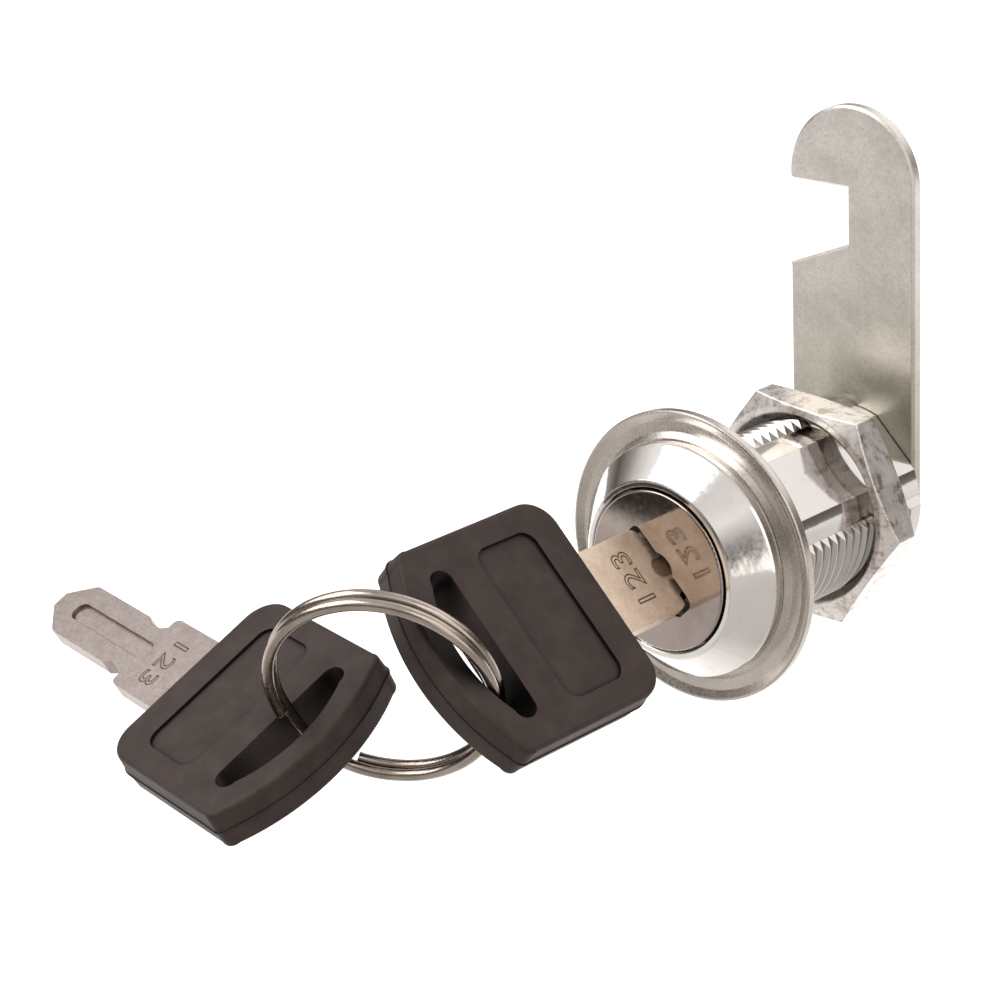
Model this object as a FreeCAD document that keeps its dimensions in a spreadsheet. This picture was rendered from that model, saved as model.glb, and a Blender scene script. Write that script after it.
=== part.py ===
"""Cam lock with a threaded double-D barrel, a hook cam, and two keys on a split ring.

Frame, in millimetres: the lock's axis is Y. The front (key side) faces -Y, the cam is at +Y,
and +Z is up, along the cam. The origin is on the axis, in the plane of the door's front face,
where the trim ring's back sits. The lock proper is rolled 45 degrees about Y, so that its key
slot and its two flats run diagonally.
"""
import FreeCAD, Part
import math
import os
import Sketcher

V = FreeCAD.Vector
DOC = FreeCAD.newDocument("CamLock")
SHEET = DOC.addObject("Spreadsheet::Sheet", "Sizes")

# ---------------------------------------------------------------- driving dimensions (mm, degrees)
SIZES = {
    # head and barrel
    "roll": 45.0,                 # roll of flats and key slot about the axis
    "barrel_radius": 9.5,         # crest of the 19 mm thread
    "barrel_end": 25.9,           # length of barrel behind the door plane
    "thread_pitch": 1.25,
    "thread_depth": 0.77,
    "thread_turns": 18.0,
    "thread_start": 1.6,
    "flat_half": 8.0,             # double-D: 16 mm across the flats
    "crest_half": 6.6,            # the crests stop this far either side of the middle
    "land_radius": 9.34,
    "head_radius": 12.21,
    "head_front": 5.77,           # land, in front of the door plane
    "cone_back": 2.49,
    "head_back": 1.33,
    "cap_bore": 8.47,
    "cap_seat": 4.6,
    "bore_radius": 6.5,
    "stop_recess": 1.45,
    "stop_outer": 7.6,
    "wafer_groove": 7.3,
    "retainer_groove": 7.35,
    # trim ring
    "trim_inner": 9.65,
    "trim_outer": 15.2,
    "trim_front": 1.2,
    "trim_dish": 0.8,
    # mounting nut
    "nut_flats": 22.3,
    "nut_front": 16.1,
    "nut_thick": 4.15,
    "nut_bore": 9.57,
    "nut_mouth": 10.35,
    "nut_turn": -5.3,             # angle of one corner above +X
    # plug and its cap
    "plug_radius": 6.45,
    "flange_radius": 8.2,
    "cap_radius": 8.35,
    "cap_front": 6.0,
    "cap_thick": 0.55,
    "slot_half": 5.0,
    "slot_side": 1.45,
    "slot_eye": 2.05,
    "keyway_half": 3.6,
    "keyway_side": 1.12,
    "keyway_end": 12.6,
    "plug_back": 24.45,
    "tail_square": 7.0,
    "tail_end": 27.1,
    "tail_bore": 2.5,
    "tail_bore_depth": 5.6,
    # wafers
    "wafer_first": -1.9,
    "wafer_pitch": 2.4,
    "wafer_thick": 1.2,
    "wafer_gap": 1.32,
    "wafer_side": 2.5,
    "wafer_reach": 6.3,
    "window_half": 4.15,
    "window_side": 1.2,
    "lug_near": 1.5,
    "lug_far": 2.5,
    "lug_side": 4.2,
    "chamber_near": 2.2,
    "chamber_far": 3.3,
    "chamber_side": 4.45,
    "spring_wire": 0.11,
    "spring_radius": 0.62,
    "spring_side": 3.4,
    "retainer_place": 20.0,
    "retainer_side": 2.0,
    "retainer_back": 3.0,
    "retainer_tip": 7.0,
    # stop plate, cam, washer and screw
    "stop_thick": 1.2,
    "stop_disc": 6.35,
    "stop_lug": 7.5,
    "stop_lug_side": 1.6,
    "hole_square": 7.06,
    "cam_front": 26.0,
    "cam_thick": 1.2,
    "cam_half": 7.9,
    "cam_tip": 40.6,
    "notch_top": 31.95,
    "notch_root": 25.9,
    "notch_mouth": 22.95,
    "notch_inner": 0.5,
    "notch_lip": 0.6,
    "washer_radius": 6.0,
    "washer_thick": 0.8,
    "screw_radius": 2.45,
    "screw_length": 5.0,
    "screw_head": 4.3,
    "screw_head_thick": 3.0,
    "screw_socket": 2.0,
    # keys
    "blade_half": 3.4,
    "blade_side": 0.95,
    "shoulder_half": 4.75,
    "shoulder_length": 9.3,
    "blade_length": 26.6,
    "tip_length": 3.4,
    "tip_half": 0.9,
    "notch_depth": 0.55,
    "groove_half": 1.1,
    "groove_depth": 0.45,
    "groove_start": 8.3,
    "groove_end": 23.3,
    "blade_root": 9.0,            # how far the blade goes into the bow
    "bow_half": 11.4,
    "bow_side": 19.7,
    "bow_crown": 3.45,
    "bow_thick": 4.6,
    "bow_corner": 3.4,
    "bow_heel": 1.2,
    "bow_draft": 4.0,
    "bow_edge": 0.45,
    "eye_front": 15.75,
    "eye_back": 18.4,
    "eye_crown": 2.65,
    "eye_half": 8.2,
    "eye_corner": 1.25,
    "panel_front": 4.0,
    "panel_back": 11.8,
    "panel_half": 8.5,
    "panel_corner": 1.6,
    "panel_depth": 0.3,
    "key_home": 15.45,            # bow's front edge in front of the door plane
    # split ring
    "ring_radius": 10.9,
    "ring_wire": 0.6,
    "ring_pitch": 1.24,
}


class Size:
    """A length or angle with the sheet expression that gives it."""

    def __init__(self, value, text):
        self.value = float(value)
        self.text = text

    def _join(self, other, sign, value):
        text = other.text if isinstance(other, Size) else repr(float(other))
        return Size(value, "(" + self.text + " " + sign + " " + text + ")")

    def __add__(self, other):
        return self._join(other, "+", self.value + float(other))

    def __sub__(self, other):
        return self._join(other, "-", self.value - float(other))

    def __mul__(self, other):
        return self._join(other, "*", self.value * float(other))

    def __truediv__(self, other):
        return self._join(other, "/", self.value / float(other))

    def __neg__(self):
        return Size(-self.value, "(-1 * " + self.text + ")")

    def __float__(self):
        return self.value


def fill_sheet():
    """Write every driving dimension to the sheet and return them as Size objects."""
    sizes = {}
    for row, (name, value) in enumerate(SIZES.items(), start=1):
        SHEET.set("A" + str(row), name)
        SHEET.set("B" + str(row), str(value))
        SHEET.setAlias("B" + str(row), name)
        sizes[name] = Size(value, "Sizes." + name)
    DOC.recompute()
    return sizes


S = fill_sheet()
ZERO = Size(0.0, "0")


def root(size_a, size_b):
    """The other short side of a right triangle with hypotenuse size_a."""
    value = math.sqrt(float(size_a) ** 2 - float(size_b) ** 2)
    return Size(value, "sqrt(" + size_a.text + "^2 - " + size_b.text + "^2)")


def bind(thing, prop, size):
    """Give a property its value and tie it to the sheet."""
    setattr(thing, prop, float(size))
    thing.setExpression(prop, size.text)


# ---------------------------------------------------------------- sketch and feature helpers
def new_body(name):
    body = DOC.addObject("PartDesign::Body", name)
    body.Label = name
    return body


def origin_plane(body, role):
    return [item for item in body.Origin.OriginFeatures if item.Role == role][0]


def new_sketch(body, name, role, lift=None):
    """A sketch on one of the body's own planes; lift moves it along the plane's normal."""
    sketch = body.newObject("Sketcher::SketchObject", name)
    sketch.AttachmentSupport = [(origin_plane(body, role), "")]
    sketch.MapMode = "FlatFace"
    if lift is not None:
        sketch.AttachmentOffset = FreeCAD.Placement(V(0, 0, float(lift)), FreeCAD.Rotation())
        sketch.setExpression("AttachmentOffset.Base.z", lift.text)
    return sketch


def pin_point(sketch, edge, end, point):
    """Hold one end of an edge at a point that is bound to the sheet."""
    for kind, size in (("DistanceX", point[0]), ("DistanceY", point[1])):
        if abs(float(size)) < 1e-9 and size.text == "0":
            axis = -2 if kind == "DistanceX" else -1
            sketch.addConstraint(Sketcher.Constraint("PointOnObject", edge, end, axis))
            continue
        number = sketch.addConstraint(Sketcher.Constraint(kind, -1, 1, edge, end, float(size)))
        sketch.setExpression("Constraints[" + str(number) + "]", size.text)


def arc_through(start, end, radius, side):
    """The counter-clockwise arc between two points. Side -1 bulges to the right of the way from
    start to end, which is counter-clockwise already; side +1 bulges to the left."""
    middle = (start + end) * 0.5
    chord = end - start
    across = V(-chord.y, chord.x, 0).normalize() * side
    drop = math.sqrt(max(radius ** 2 - (chord.Length / 2) ** 2, 0.0))
    through = middle + across * (radius - drop)
    return Part.Arc(start, through, end) if side < 0 else Part.Arc(end, through, start)


def outline(sketch, corners):
    """Add one closed outline. Each corner is (x, y) or (x, y, radius, side) where an arc of
    that radius leads on to the next corner."""
    first = sketch.GeometryCount
    points = [V(float(c[0]), float(c[1]), 0) for c in corners]
    ends = []
    for number, corner in enumerate(corners):
        start = points[number]
        end = points[(number + 1) % len(points)]
        if len(corner) == 2:
            sketch.addGeometry(Part.LineSegment(start, end), False)
        else:
            sketch.addGeometry(arc_through(start, end, float(corner[2]), corner[3]), False)
        ends.append((2, 1) if len(corner) > 2 and corner[3] > 0 else (1, 2))
    for number, corner in enumerate(corners):
        edge = first + number
        before = number - 1 if number else len(corners) - 1
        pin_point(sketch, edge, ends[number][0], corner)
        joint = Sketcher.Constraint("Coincident", first + before, ends[before][1],
                                    edge, ends[number][0])
        sketch.addConstraint(joint)
        if len(corner) > 2:
            index = sketch.addConstraint(Sketcher.Constraint("Radius", edge, float(corner[2])))
            sketch.setExpression("Constraints[" + str(index) + "]", corner[2].text)
    return sketch


def circle(sketch, radius, centre=None):
    """Add a circle, on the sketch's origin unless a centre is given."""
    place = centre or (ZERO, ZERO)
    middle = V(float(place[0]), float(place[1]), 0)
    edge = sketch.addGeometry(Part.Circle(middle, V(0, 0, 1), float(radius)), False)
    pin_point(sketch, edge, 3, place)
    index = sketch.addConstraint(Sketcher.Constraint("Radius", edge, float(radius)))
    sketch.setExpression("Constraints[" + str(index) + "]", radius.text)
    return sketch


def box_corners(half_x, low_y, high_y):
    return [(-half_x, low_y), (half_x, low_y), (half_x, high_y), (-half_x, high_y)]


def rounded_box(half_x, low_y, high_y, corner):
    """A rectangle with round corners, as outline() takes it."""
    return [
        (-half_x + corner, low_y), (half_x - corner, low_y, corner, -1),
        (half_x, low_y + corner), (half_x, high_y - corner, corner, -1),
        (half_x - corner, high_y), (-half_x + corner, high_y, corner, -1),
        (-half_x, high_y - corner), (-half_x, low_y + corner, corner, -1),
    ]


def revolve(body, name, corners):
    """Turn an outline of (radius, y) corners about the Y axis."""
    sketch = outline(new_sketch(body, name + "_sketch", "XY_Plane"), corners)
    feature = body.newObject("PartDesign::Revolution", name)
    feature.Profile = sketch
    feature.ReferenceAxis = (sketch, ["V_Axis"])
    feature.Angle = 360.0
    return feature


def turn_groove(body, name, corners):
    """Cut an outline of (radius, y) corners right round the Y axis."""
    sketch = outline(new_sketch(body, name + "_sketch", "XY_Plane"), corners)
    feature = body.newObject("PartDesign::Groove", name)
    feature.Profile = sketch
    feature.ReferenceAxis = (sketch, ["V_Axis"])
    feature.Angle = 360.0
    return feature


def pad_along_y(body, name, sketch, length):
    """Pad an XZ sketch towards +Y (the XZ plane's normal is -Y)."""
    feature = body.newObject("PartDesign::Pad", name)
    feature.Profile = sketch
    bind(feature, "Length", length)
    feature.Reversed = True
    return feature


def pocket_along_y(body, name, sketch, length):
    """Cut an XZ sketch towards +Y."""
    feature = body.newObject("PartDesign::Pocket", name)
    feature.Profile = sketch
    bind(feature, "Length", length)
    return feature


def pocket_both_ways(body, name, sketch, length):
    """Cut a sketch by the same length on both sides of its plane, together length."""
    feature = body.newObject("PartDesign::Pocket", name)
    feature.Profile = sketch
    bind(feature, "Length", length)
    feature.Midplane = True
    return feature


def xz_sketch(body, name, y_place):
    """A sketch across the axis, at y_place."""
    return new_sketch(body, name, "XZ_Plane", -y_place)


def pattern_along_y(body, name, feature, pitch, count):
    """Repeat a feature along +Y."""
    pattern = body.newObject("PartDesign::LinearPattern", name)
    pattern.Originals = [feature]
    pattern.Direction = (origin_plane(body, "XZ_Plane"), [""])
    pattern.Reversed = True
    pattern.Length = float(pitch) * (count - 1)
    pattern.setExpression("Length", "(" + pitch.text + " * " + str(count - 1) + ")")
    pattern.Occurrences = count
    body.Tip = pattern
    return pattern


def edges_where(shape, test):
    """Names of the edges for which test(edge) is true."""
    return ["Edge" + str(n) for n, edge in enumerate(shape.Edges, start=1) if test(edge)]


def round_edges(body, name, base, names, radius, kind="Fillet"):
    """Fillet or chamfer the named edges of the feature base."""
    feature = body.newObject("PartDesign::" + kind, name)
    feature.Base = (base, names)
    bind(feature, "Radius" if kind == "Fillet" else "Size", radius)
    return feature


def roll_about_y(degrees, place=None):
    """A turn about the lock's axis; positive takes +Z towards +X."""
    return FreeCAD.Placement(place or V(0, 0, 0), FreeCAD.Rotation(V(0, 1, 0), degrees))


ROLLED = roll_about_y(SIZES["roll"])


# ---------------------------------------------------------------- lock body
def make_housing():
    body = new_body("housing")
    step = S["thread_depth"]
    edge = S["land_radius"] - S["cap_bore"]
    profile = [
        (S["cap_bore"], -S["head_front"] + edge / 4),
        (S["cap_bore"] + edge / 4, -S["head_front"]),
        (S["land_radius"] - edge / 4, -S["head_front"]),
        (S["land_radius"], -S["head_front"] + edge / 8),
        (S["head_radius"] - edge / 8, -S["cone_back"] - edge / 8),
        (S["head_radius"], -S["cone_back"] + edge / 8),
        (S["head_radius"], -S["head_back"]),
        (S["barrel_radius"], -S["head_back"]),
        (S["barrel_radius"], S["barrel_end"] - step),
        (S["barrel_radius"] - step, S["barrel_end"]),
        (S["bore_radius"], S["barrel_end"]),
        (S["bore_radius"], -S["cap_seat"]),
        (S["cap_bore"], -S["cap_seat"]),
    ]
    revolve(body, "housing_turned", profile)

    root_radius = S["barrel_radius"] - step
    clear = S["barrel_radius"] + 0.5
    start = S["thread_start"]
    half = S["thread_pitch"] / 2
    cut = turn_groove(body, "thread_groove", [
        (root_radius, start - half / 8), (root_radius, start + half / 8),
        (S["barrel_radius"], start + half * 0.88), (clear, start + half * 0.88),
        (clear, start - half * 0.88), (S["barrel_radius"], start - half * 0.88),
    ])
    pattern_along_y(body, "thread", cut, S["thread_pitch"], int(SIZES["thread_turns"]))

    crest = S["crest_half"]
    flat = S["flat_half"]
    outside = S["barrel_radius"] + 3.0
    crest_x = root(root_radius, crest)
    flat_x = root(root_radius, flat)
    sides = xz_sketch(body, "double_d_sketch", ZERO)
    outline(sides, [
        (-crest_x, crest), (-outside, crest), (-outside, outside), (outside, outside),
        (outside, crest), (crest_x, crest, root_radius, -1), (flat_x, flat),
        (-flat_x, flat, root_radius, -1),
    ])
    outline(sides, [
        (crest_x, -crest), (outside, -crest), (outside, -outside), (-outside, -outside),
        (-outside, -crest), (-crest_x, -crest, root_radius, -1), (-flat_x, -flat),
        (flat_x, -flat, root_radius, -1),
    ])
    pocket_along_y(body, "double_d", sides, S["barrel_end"] + 1.0)

    grooves = xz_sketch(body, "wafer_groove_sketch", S["wafer_first"] - 1.4)
    side = S["wafer_side"] + 0.3
    reach = S["wafer_groove"]
    outline(grooves, [
        (-side, -reach), (side, -reach), (side, -side), (reach, -side), (reach, side),
        (side, side), (side, reach), (-side, reach), (-side, side), (-reach, side),
        (-reach, -side), (-side, -side),
    ])
    pocket_along_y(body, "wafer_grooves", grooves, S["wafer_pitch"] * 4.0 + 2.8)

    ring_half = S["wafer_thick"] / 2 + 0.2
    turn_groove(body, "retainer_groove_cut", [
        (S["bore_radius"] - 0.5, S["retainer_place"] - ring_half),
        (S["retainer_groove"], S["retainer_place"] - ring_half),
        (S["retainer_groove"], S["retainer_place"] + ring_half),
        (S["bore_radius"] - 0.5, S["retainer_place"] + ring_half),
    ])

    # quarter-turn recess in which the stop plate's lug swings from +X to -Z of the plug's axes
    recess = xz_sketch(body, "stop_recess_sketch", S["barrel_end"] - S["stop_recess"])
    lug = S["stop_lug_side"] + 0.25
    outer = S["stop_outer"]
    far = root(outer, lug)
    outline(recess, [
        (-lug, lug), (-lug, -far, outer, -1), (far, lug),
    ])
    pocket_along_y(body, "stop_recess_cut", recess, S["stop_recess"] + 0.5)
    body.Placement = ROLLED
    return body


def make_trim_ring():
    body = new_body("trim_ring")
    outer = S["trim_outer"]
    front = -S["trim_front"]
    seat = -S["head_back"] + 0.03
    revolve(body, "trim_turned", [
        (S["trim_inner"], seat), (S["head_radius"] + 0.15, seat),
        (S["head_radius"] + 0.75, -S["trim_dish"]),
        (outer - 1.1, -S["trim_dish"] - 0.06), (outer - 0.3, front), (outer - 0.12, front),
        (outer, front + 0.16), (outer, ZERO - 0.3), (outer - 0.25, ZERO),
        (S["trim_inner"], ZERO),
    ])
    return body


def hexagon(across_flats, first_corner=0.0):
    """Corners of a hexagon about the sketch's origin."""
    corner = across_flats / math.sqrt(3.0)
    corners = []
    for number in range(6):
        angle = math.radians(first_corner + 60.0 * number)
        corners.append((corner * math.cos(angle), corner * math.sin(angle)))
    return corners


def make_nut():
    body = new_body("mounting_nut")
    hexagon_sketch = xz_sketch(body, "nut_sketch", S["nut_front"])
    pad = pad_along_y(body, "nut_pad", outline(hexagon_sketch, hexagon(S["nut_flats"])),
                      S["nut_thick"])
    bore = xz_sketch(body, "nut_bore_sketch", S["nut_front"])
    pocket_along_y(body, "nut_bore_cut", circle(bore, S["nut_bore"]), S["nut_thick"] + 1.0)
    back = S["nut_front"] + S["nut_thick"]
    corner = S["nut_flats"] / math.sqrt(3.0)
    flat = S["nut_flats"] / 2
    depth = S["nut_mouth"] - S["nut_bore"]
    for name, face, way in (("front", S["nut_front"], 1.0), ("back", back, -1.0)):
        turn_groove(body, "nut_chamfer_" + name, [
            (flat - 0.15, face), (corner + 0.5, face + way * 1.0),
            (corner + 0.5, face - way * 0.5), (flat - 0.15, face - way * 0.5),
        ])
        turn_groove(body, "nut_mouth_" + name, [
            (S["nut_mouth"], face), (S["nut_bore"] - 0.2, face + depth * way + way * 0.2),
            (S["nut_bore"] - 0.2, face - way * 0.5), (S["nut_mouth"], face - way * 0.5),
        ])
    body.Placement = roll_about_y(-SIZES["nut_turn"])
    return body, pad


# ---------------------------------------------------------------- plug and what it carries
def make_plug():
    body = new_body("plug")
    face = -S["cap_front"] + S["cap_thick"]
    revolve(body, "plug_turned", [
        (ZERO, face), (S["flange_radius"], face), (S["flange_radius"], -S["cap_seat"] - 0.1),
        (S["plug_radius"], -S["cap_seat"] - 0.1), (S["plug_radius"], S["plug_back"]),
        (ZERO, S["plug_back"]),
    ])
    half = S["tail_square"] / 2
    tail = xz_sketch(body, "tail_sketch", S["plug_back"] - 0.5)
    outline(tail, rounded_box(half, -half, half, S["tail_square"] / 12))
    pad_along_y(body, "tail", tail, S["tail_end"] - S["plug_back"] + 0.5)
    bore = xz_sketch(body, "tail_bore_sketch", S["tail_end"] - S["tail_bore_depth"])
    pocket_along_y(body, "tail_bore_cut", circle(bore, S["tail_bore"]), S["tail_bore_depth"] + 1.0)

    mouth = xz_sketch(body, "slot_mouth_sketch", face - 0.5)
    outline(mouth, box_corners(S["slot_half"], -S["slot_side"], S["slot_side"]))
    pocket_along_y(body, "slot_mouth", mouth, ZERO + 1.6)
    eye = circle(xz_sketch(body, "slot_eye_sketch", face - 0.5), S["slot_eye"])
    pocket_along_y(body, "slot_eye", eye, ZERO + 1.6)
    keyway = xz_sketch(body, "keyway_sketch", face - 0.5)
    outline(keyway, box_corners(S["keyway_half"], -S["keyway_side"], S["keyway_side"]))
    pocket_along_y(body, "keyway", keyway, S["keyway_end"] - face + 0.5)

    wide = S["bore_radius"] + 1.0
    thick = S["wafer_gap"]
    for number in range(5):
        place = S["wafer_first"] + S["wafer_pitch"] * float(number) - thick / 2
        slot = xz_sketch(body, "wafer_slot_sketch_" + str(number + 1), place)
        side = S["wafer_side"] + 0.06
        outline(slot, box_corners(wide, -side, side))
        pocket_along_y(body, "wafer_slot_" + str(number + 1), slot, thick)
        way = 1.0 if number % 2 == 0 else -1.0
        room = xz_sketch(body, "chamber_sketch_" + str(number + 1), place)
        outline(room, [
            (S["chamber_near"] * -way, S["wafer_side"] * way),
            (S["chamber_far"] * way, S["wafer_side"] * way),
            (S["chamber_far"] * way, S["chamber_side"] * way),
            (S["chamber_near"] * -way, S["chamber_side"] * way),
        ])
        pocket_along_y(body, "chamber_" + str(number + 1), room, thick)

    slot = xz_sketch(body, "retainer_slot_sketch", S["retainer_place"] - thick / 2)
    side = S["retainer_side"] + 0.06
    outline(slot, [(-S["plug_radius"] + 0.6, -side), (wide, -side), (wide, side),
                   (-S["plug_radius"] + 0.6, side)])
    pocket_along_y(body, "retainer_slot", slot, thick)
    body.Placement = ROLLED
    return body


def make_plug_cap():
    body = new_body("plug_cap")
    thick = S["cap_thick"]
    front = -S["cap_front"]
    roundness = thick / 3
    revolve(body, "cap_turned", [
        (ZERO, front), (S["cap_radius"] - roundness, front, roundness, -1),
        (S["cap_radius"], front + roundness), (S["cap_radius"], front + thick),
        (ZERO, front + thick),
    ])
    slot = xz_sketch(body, "cap_slot_sketch", front - 0.5)
    corner = S["slot_side"] / 2
    outline(slot, rounded_box(S["slot_half"], -S["slot_side"], S["slot_side"], corner))
    pocket_along_y(body, "cap_slot", slot, thick + 1.0)
    eye = circle(xz_sketch(body, "cap_eye_sketch", front - 0.5), S["slot_eye"])
    pocket_along_y(body, "cap_eye", eye, thick + 1.0)
    body.Placement = ROLLED
    return body


def make_wafer(number):
    """One disc wafer; even ones face the other way round."""
    body = new_body("wafer_" + str(number))
    thick = S["wafer_thick"]
    reach = S["wafer_reach"]
    side = S["wafer_side"]
    end = root(reach, side)
    place = S["wafer_first"] + S["wafer_pitch"] * float(number - 1) - thick / 2
    plate = xz_sketch(body, "plate_sketch", place)
    outline(plate, [
        (-end, -side), (end, -side, reach, -1), (end, side), (S["lug_far"], side),
        (S["lug_far"], S["lug_side"]), (S["lug_near"], S["lug_side"]), (S["lug_near"], side),
        (-end, side, reach, -1),
    ])
    pad_along_y(body, "plate", plate, thick)
    window = xz_sketch(body, "window_sketch", place)
    outline(window, box_corners(S["window_half"], -S["window_side"], S["window_side"]))
    pocket_along_y(body, "window", window, thick + 0.5)
    half_turn = 0.0 if number % 2 else 180.0
    body.Placement = roll_about_y(SIZES["roll"] + half_turn)
    return body


def coil_spring(name, start, length, radius, wire, turns, placement):
    """A closed helical solid along +X from start, in the plug's own axes."""
    helix = Part.makeHelix(length / turns, length, radius)
    section = Part.Wire([Part.makeCircle(wire, V(radius, 0, 0), V(0, 1, 0))])
    feature = DOC.addObject("Part::Feature", name)
    feature.Label = name
    feature.Shape = Part.Wire(helix).makePipeShell([section], True, True)
    along_x = FreeCAD.Placement(start, FreeCAD.Rotation(V(0, 1, 0), 90.0))
    feature.Placement = placement.multiply(along_x)
    return feature


def make_wafer_spring(number):
    place = SIZES["wafer_first"] + SIZES["wafer_pitch"] * (number - 1)
    wire = SIZES["spring_wire"]
    near = -SIZES["chamber_near"] + wire
    length = SIZES["lug_near"] - wire - near
    half_turn = 0.0 if number % 2 else 180.0
    start = V(near, place, SIZES["spring_side"])
    return coil_spring("wafer_spring_" + str(number), start, length - 0.05,
                       SIZES["spring_radius"] - 0.13, wire, 6.0,
                       roll_about_y(SIZES["roll"] + half_turn))


def make_retainer():
    body = new_body("retaining_wafer")
    thick = S["wafer_thick"]
    plate = xz_sketch(body, "retainer_sketch", S["retainer_place"] - thick / 2)
    side = S["retainer_side"]
    outline(plate, [
        (-S["retainer_back"], -side), (S["retainer_tip"] - 0.5, -side),
        (S["retainer_tip"], -side + 0.5), (S["retainer_tip"], side - 0.5),
        (S["retainer_tip"] - 0.5, side), (-S["retainer_back"], side),
    ])
    pad_along_y(body, "retainer_plate", plate, thick)
    body.Placement = ROLLED
    return body


def make_retaining_spring():
    wire = SIZES["spring_wire"]
    near = -SIZES["plug_radius"] + 0.65 + wire
    length = -SIZES["retainer_back"] - wire - near
    start = V(near, SIZES["retainer_place"], 0.0)
    return coil_spring("retaining_spring", start, length - 0.05, 0.45, wire, 5.0, ROLLED)


def square_hole(body, name, place, length, turn=0.0):
    """Cut the square that fits the plug's tail."""
    half = S["hole_square"] / 2
    sketch = xz_sketch(body, name + "_sketch", place)
    if turn:
        reach = half * math.sqrt(2.0)
        outline(sketch, [(reach, ZERO), (ZERO, reach), (-reach, ZERO), (ZERO, -reach)])
    else:
        outline(sketch, box_corners(half, -half, half))
    return pocket_along_y(body, name, sketch, length)


def make_stop_plate():
    body = new_body("stop_plate")
    place = S["plug_back"] + 0.05
    disc = S["stop_disc"]
    lug = S["stop_lug"]
    side = S["stop_lug_side"]
    disc_x = root(disc, side)
    lug_x = root(lug, side)
    plate = xz_sketch(body, "stop_sketch", place)
    outline(plate, [
        (disc_x, -side), (lug_x, -side, lug, -1), (lug_x, side), (disc_x, side, disc, -1),
        (-disc, ZERO, disc, -1),
    ])
    pad_along_y(body, "stop_disc", plate, S["stop_thick"])
    square_hole(body, "stop_square", place, S["stop_thick"] + 0.5)
    body.Placement = ROLLED
    return body


def make_hook_cam():
    body = new_body("hook_cam")
    half = S["cam_half"]
    thick = S["cam_thick"]
    centre = S["cam_tip"] - half
    lip = S["notch_lip"]
    inner = -S["notch_inner"]
    plate = xz_sketch(body, "cam_sketch", S["cam_front"])
    outline(plate, [
        (-half, ZERO, half, -1), (ZERO, -half, half, -1), (half, ZERO),
        (half, centre, half, -1), (ZERO, S["cam_tip"], half, -1), (-half, centre),
        (-half, S["notch_top"] + lip, lip, -1), (-half + lip, S["notch_top"]),
        (inner, S["notch_top"]), (inner, S["notch_root"]), (-half, S["notch_mouth"]),
    ])
    pad = pad_along_y(body, "cam_plate", plate, thick)
    hole = square_hole(body, "cam_square", S["cam_front"], thick + 0.5, turn=45.0)
    DOC.recompute()
    front = float(S["cam_front"])
    rim = edges_where(hole.Shape, lambda edge: abs(edge.BoundBox.YMax - front) < 1e-3
                      and abs(edge.BoundBox.YMin - front) < 1e-3
                      and edge.BoundBox.DiagonalLength > 0.1
                      and max(abs(edge.BoundBox.XMax), abs(edge.BoundBox.XMin),
                              edge.BoundBox.ZMax) > float(S["hole_square"]))
    round_edges(body, "coined_edge", hole, rim, thick * 0.22, "Chamfer")
    return body, pad


def make_cam_washer():
    body = new_body("cam_washer")
    start = S["cam_front"] + S["cam_thick"]
    thick = S["washer_thick"]
    inner = S["screw_radius"] + 0.2
    revolve(body, "washer_turned", [
        (inner, start), (S["washer_radius"], start), (S["washer_radius"], start + thick),
        (inner, start + thick),
    ])
    return body


def make_cam_screw():
    body = new_body("cam_screw")
    seat = S["cam_front"] + S["cam_thick"] + S["washer_thick"]
    top = seat + S["screw_head_thick"]
    tip = seat - S["washer_thick"] - S["screw_length"]
    radius = S["screw_radius"]
    head = S["screw_head"]
    revolve(body, "screw_turned", [
        (ZERO, tip), (radius - 0.4, tip), (radius, tip + 0.4), (radius, seat), (head, seat),
        (head, top - 1.0), (head - 1.1, top), (ZERO, top),
    ])
    socket = xz_sketch(body, "socket_sketch", top - 1.6)
    half = S["screw_socket"]
    arm = half / 3.2
    outline(socket, [
        (-arm, -half), (arm, -half), (arm, -arm), (half, -arm), (half, arm), (arm, arm),
        (arm, half), (-arm, half), (-arm, arm), (-half, arm), (-half, -arm), (-arm, -arm),
    ])
    pocket_along_y(body, "cross_socket", socket, ZERO + 3.0)
    return body


# ---------------------------------------------------------------- keys and ring
def key_placements():
    """Key 1 in the plug, and key 2 hanging from the ring beside it. In a key's own axes the
    blade points along +Y, its width is along X and its thickness along Z; the origin is in the
    middle of the bow's front edge."""
    first = roll_about_y(SIZES["roll"], V(0, -SIZES["key_home"], 0))
    tip = V(*KEY_2_TIP).normalize()
    face = V(*KEY_2_FACE)
    face = (face - tip * face.dot(tip)).normalize()
    across = tip.cross(face)
    turn = FreeCAD.Rotation(across, tip, face, "XYZ")
    return first, FreeCAD.Placement(V(*KEY_2_PLACE), turn)


KEY_2_TIP = (-0.9845, 0.1734, 0.0267)   # the way key 2's blade points
KEY_2_FACE = (-0.0598, -0.4745, 0.8782) # the way its upper face looks
KEY_2_PLACE = (-31.952, -39.293, -9.07) # middle of its bow's front edge
RING_PLACE = (-5.66, -38.72, -2.52)     # centre of the split ring
RING_AXIS = (0.4728, -0.8122, -0.3417)  # the way the ring's flat side looks
RING_START = 278.0                      # degrees round the ring where the wire starts
RING_END = 949.0                        # and where it stops, nearly two turns on
RING_STEP = 49.0                        # degrees over which it crosses to the other turn


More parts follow.
